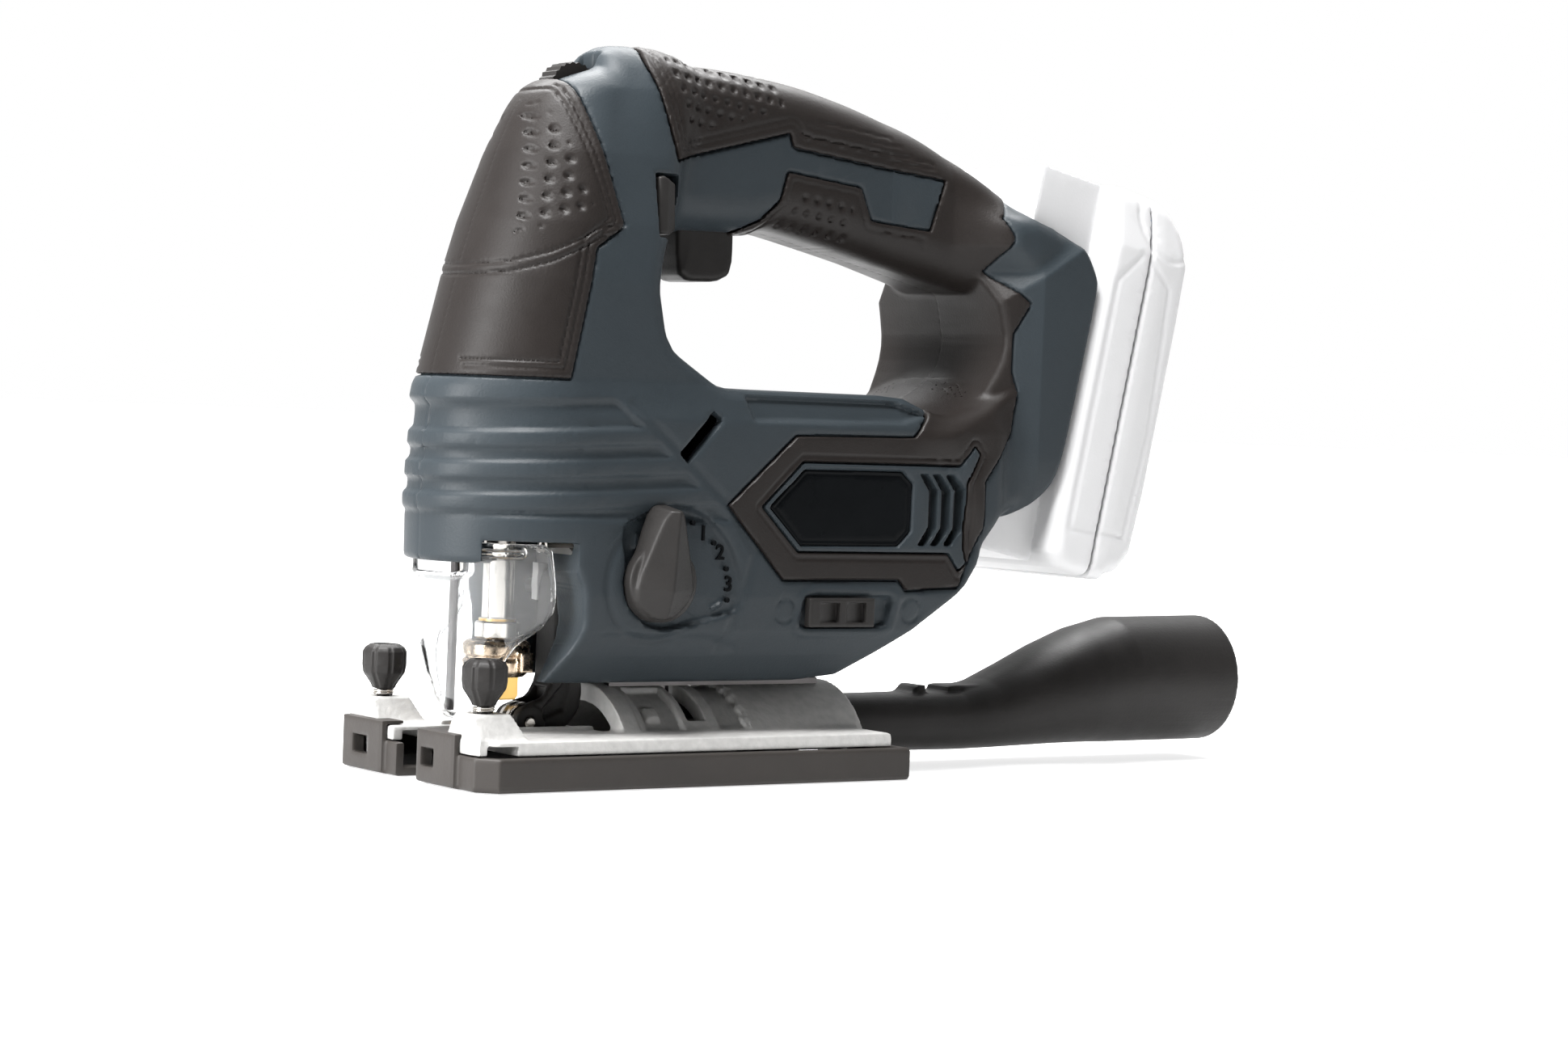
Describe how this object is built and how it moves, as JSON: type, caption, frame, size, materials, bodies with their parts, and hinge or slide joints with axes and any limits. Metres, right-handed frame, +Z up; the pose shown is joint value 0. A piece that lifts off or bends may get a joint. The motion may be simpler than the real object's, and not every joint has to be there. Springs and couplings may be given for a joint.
{
  "type": "cordless jigsaw",
  "caption": "Cordless orbital jigsaw with a D-handle, reciprocating plunger with a quick blade clamp, clear chip guard, tilting base with a plastic sole, dust outlet and slide-on battery.",
  "frame": {"origin": "the centre of the sole's underside, on the surface it rests on", "axes": "+X to the rear of the tool, so the saw cuts towards -X; +Y the tool's right side; +Z up, along the plunger"},
  "size_m": [0.2801, 0.0793, 0.1975],
  "materials": {
    "housing": "finely textured matte, blue grey",
    "rubber": "matte soft overmould, warm black",
    "label": "semi-gloss",
    "black_plastic": "satin",
    "sole_plastic": "satin",
    "aluminium": "cast, bead blasted",
    "steel": "ground",
    "dark_steel": "blackened",
    "clamp_brass": "worn",
    "copper": "lacquered winding",
    "clear_plastic": "clear polycarbonate",
    "pack_plastic": "satin, pale grey",
    "board": "lacquered circuit board",
    "cells": "sleeved cells"
  },
  "bodies": {
    "casing": {"housing_left": "housing", "housing_right": "housing", "nose_grip_left": "rubber", "nose_grip_right": "rubber", "handle_grip_left": "rubber", "handle_grip_right": "rubber", "handle_grip_top": "rubber", "rear_grip_left": "rubber", "rear_grip_right": "rubber", "label_plate_left": "label", "label_plate_right": "label", "casing_screw_1": "dark_steel", "casing_screw_2": "dark_steel", "casing_screw_3": "dark_steel", "casing_screw_4": "dark_steel", "gearbox_frame": "aluminium", "upper_bush": "clamp_brass", "guide_block": "aluminium", "lower_bush": "clamp_brass", "gear_axle": "steel", "motor_can": "dark_steel", "front_bearing": "steel", "brush_cap": "black_plastic", "rear_bearing": "steel", "guard_rod": "dark_steel", "fork_pin": "steel", "control_board": "board", "trigger_switch": "black_plastic", "terminal_block": "black_plastic", "base_saddle": "dark_steel", "tilt_clamp_plate": "dark_steel", "blade_guard": "clear_plastic"},
    "trigger": {"trigger": "black_plastic"},
    "lock": {"lock_button": "black_plastic"},
    "dial": {"speed_dial": "black_plastic"},
    "orbit": {"orbit_knob": "black_plastic", "orbit_cam": "black_plastic"},
    "blower": {"blower_slider": "black_plastic"},
    "gear": {"drive_gear": "steel"},
    "rotor": {"rotor_shaft": "steel", "armature": "copper", "cooling_fan": "black_plastic"},
    "plunger": {"plunger": "steel", "plunger_yoke": "steel"},
    "clamp": {"clamp_ring": "clamp_brass"},
    "pendulum": {"pendulum_fork": "black_plastic", "roller_pin": "steel"},
    "roller": {"guide_roller": "steel"},
    "base": {"base_plate": "aluminium", "sole": "sole_plastic", "fence_spring_left": "steel", "fence_spring_right": "steel"},
    "knob_left": {"fence_knob_left": "black_plastic"},
    "knob_right": {"fence_knob_right": "black_plastic"},
    "tilt_screw": {"tilt_clamp_screw": "dark_steel"},
    "nozzle": {"dust_nozzle": "black_plastic"},
    "battery": {"battery_case_front": "pack_plastic", "battery_case_rear": "pack_plastic", "battery_cells": "cells"},
    "latch": {"battery_latch": "pack_plastic"}
  },
  "joints": [
    {"name": "trigger_pull", "type": "slide", "parent": "casing", "child": "trigger", "axis": [0, 0, 1], "range_m": [0, 0.005], "stiffness_N_per_m": 600, "springref_m": -0.002},
    {"name": "lock_push", "type": "slide", "parent": "casing", "child": "lock", "axis": [0, 1, 0], "range_m": [0, 0.003], "stiffness_N_per_m": 400, "springref_m": -0.002},
    {"name": "speed_turn", "type": "hinge", "parent": "casing", "child": "dial", "pos_m": [-0.0265, 0, 0.1845], "axis": [0, 1, 0], "range_deg": [0, 270]},
    {"name": "orbit_turn", "type": "hinge", "parent": "casing", "child": "orbit", "pos_m": [-0.012, -0.031, 0.054], "axis": [0, 1, 0], "range_deg": [0, 100]},
    {"name": "blower_slide", "type": "slide", "parent": "casing", "child": "blower", "axis": [1, 0, 0], "range_m": [0, 0.007]},
    {"name": "gear_spin", "type": "hinge", "parent": "casing", "child": "gear", "pos_m": [-0.0245, 0, 0.094], "axis": [1, 0, 0], "continuous": true},
    {"name": "rotor_spin", "type": "hinge", "parent": "casing", "child": "rotor", "pos_m": [0.0115, 0, 0.066], "axis": [1, 0, 0], "continuous": true},
    {"name": "plunger_stroke", "type": "slide", "parent": "casing", "child": "plunger", "axis": [0, 0, 1], "range_m": [0, 0.022]},
    {"name": "clamp_twist", "type": "hinge", "parent": "plunger", "child": "clamp", "pos_m": [-0.0425, 0, 0.032], "axis": [0, 0, 1], "range_deg": [0, 60], "stiffness_Nm_per_rad": 0.02, "springref_deg": -17.19},
    {"name": "fork_swing", "type": "hinge", "parent": "casing", "child": "pendulum", "pos_m": [-0.0225, 0, 0.052], "axis": [0, 1, 0], "range_deg": [0, 4]},
    {"name": "roller_spin", "type": "hinge", "parent": "pendulum", "child": "roller", "pos_m": [-0.0345, 0, 0.0146], "axis": [0, 1, 0], "continuous": true},
    {"name": "base_tilt", "type": "hinge", "parent": "casing", "child": "base", "pos_m": [0.0015, 0, 0], "axis": [1, 0, 0], "range_deg": [-10, 10]},
    {"name": "knob_left_turn", "type": "hinge", "parent": "base", "child": "knob_left", "pos_m": [-0.0615, -0.0267, 0.028], "axis": [0, 0, 1], "continuous": true},
    {"name": "knob_right_turn", "type": "hinge", "parent": "base", "child": "knob_right", "pos_m": [-0.0615, 0.0267, 0.028], "axis": [0, 0, 1], "continuous": true},
    {"name": "tilt_screw_turn", "type": "hinge", "parent": "casing", "child": "tilt_screw", "pos_m": [0.0105, 0, 0.025], "axis": [0, 0, 1], "range_deg": [0, 180]},
    {"name": "nozzle_slide", "type": "slide", "parent": "base", "child": "nozzle", "axis": [1, 0, 0], "range_m": [0, 0.045]},
    {"name": "battery_slide", "type": "slide", "parent": "casing", "child": "battery", "axis": [0.2011, 0, 0.9796], "range_m": [0, 0.065]},
    {"name": "latch_press", "type": "slide", "parent": "battery", "child": "latch", "axis": [-0.2011, 0, -0.9796], "range_m": [0, 0.004], "stiffness_N_per_m": 500, "springref_m": -0.002}
  ],
  "couplings": [
    {"joint": "rotor_spin", "follows": "gear_spin", "ratio": -6}
  ]
}
